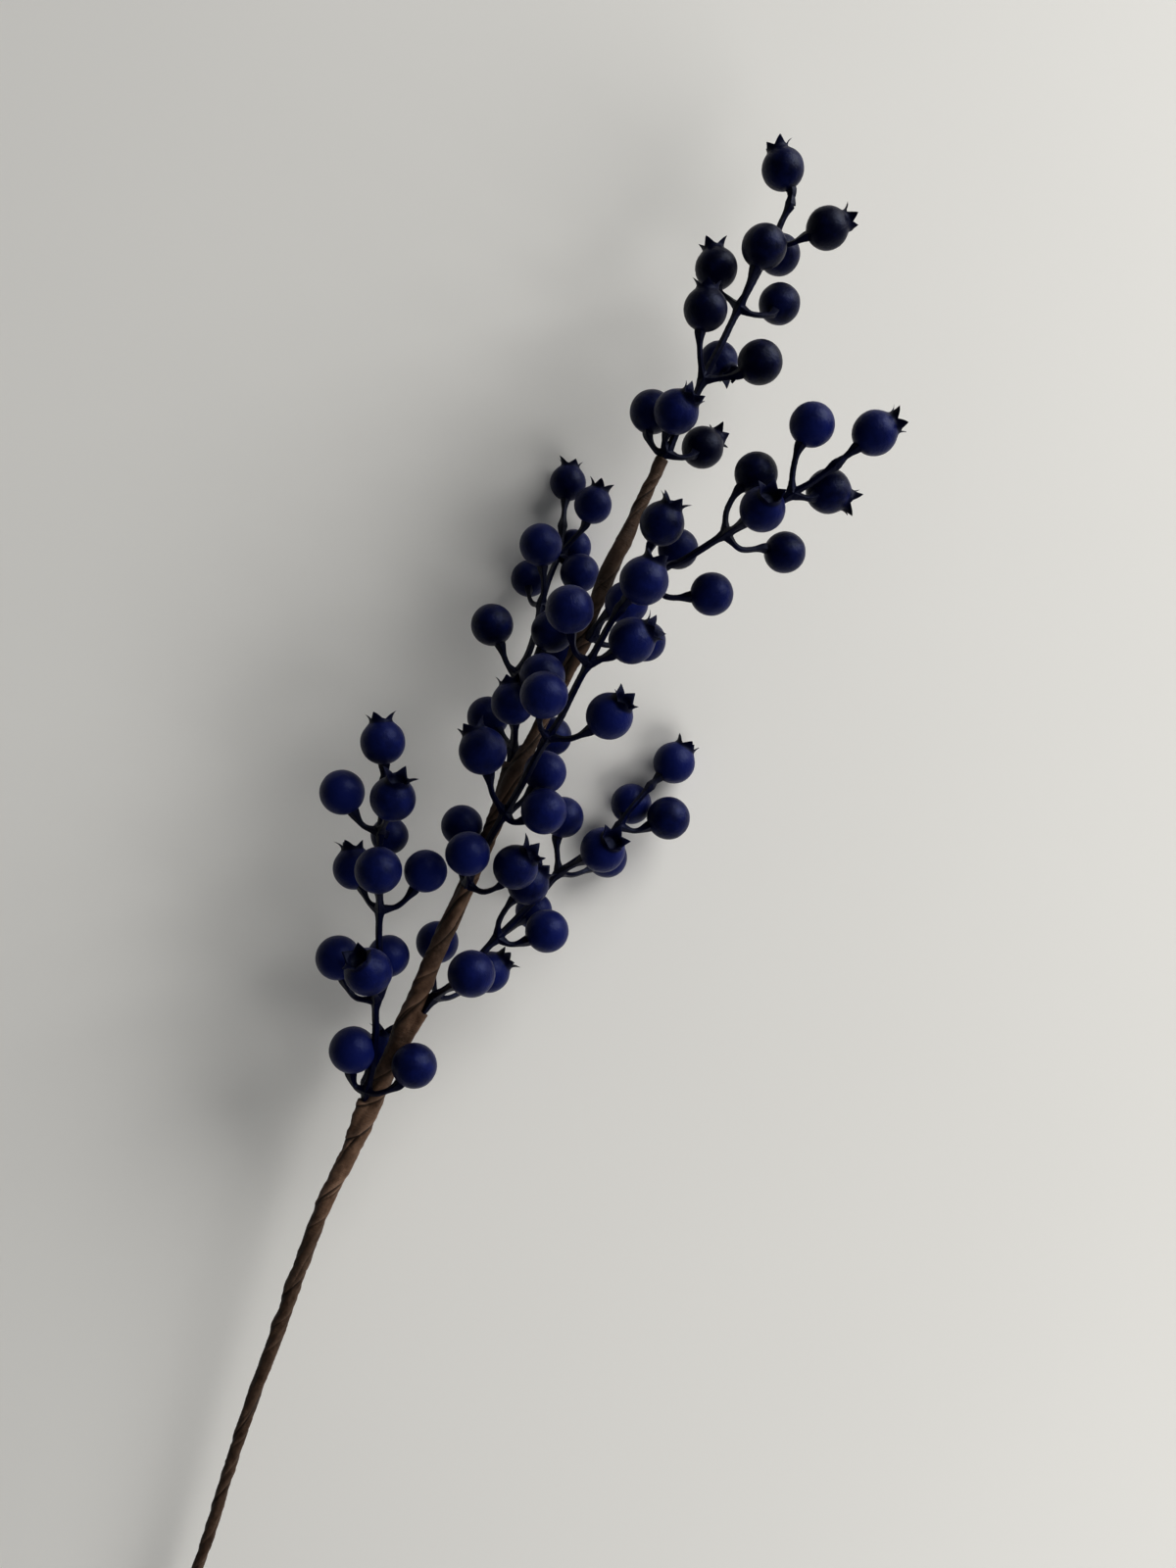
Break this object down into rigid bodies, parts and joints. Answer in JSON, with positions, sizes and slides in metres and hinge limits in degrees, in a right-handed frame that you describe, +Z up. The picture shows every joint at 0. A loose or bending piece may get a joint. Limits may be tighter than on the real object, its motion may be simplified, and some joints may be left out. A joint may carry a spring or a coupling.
{
  "type": "artificial berry stem",
  "caption": "Long wire stem wound with brown paper tape, with whorled sprays of navy plastic berries, some with a pointed crown; lies on a table or stands in a vase.",
  "frame": {"origin": "middle of the bounding box's underside, on the table that the stem lies on", "axes": "+Z up from the table, +Y along the stem from its cut foot to its tip, +X to the right as the stem is seen from above with its tip away"},
  "size_m": [0.1094, 0.5662, 0.0932],
  "materials": {
    "wire_steel": "drawn wire, cut end",
    "paper_tape": "matte waxed paper tape wound on the slant, creased",
    "navy_plastic": "satin moulded plastic with parting lines"
  },
  "bodies": {
    "root": {"core_wire": "wire_steel", "stem_wrap": "paper_tape", "spray_tip": "navy_plastic", "spray_upper_right": "navy_plastic", "spray_front": "navy_plastic", "spray_rear": "navy_plastic", "spray_lower_left": "navy_plastic", "spray_lower_right": "navy_plastic"}
  },
  "joints": []
}
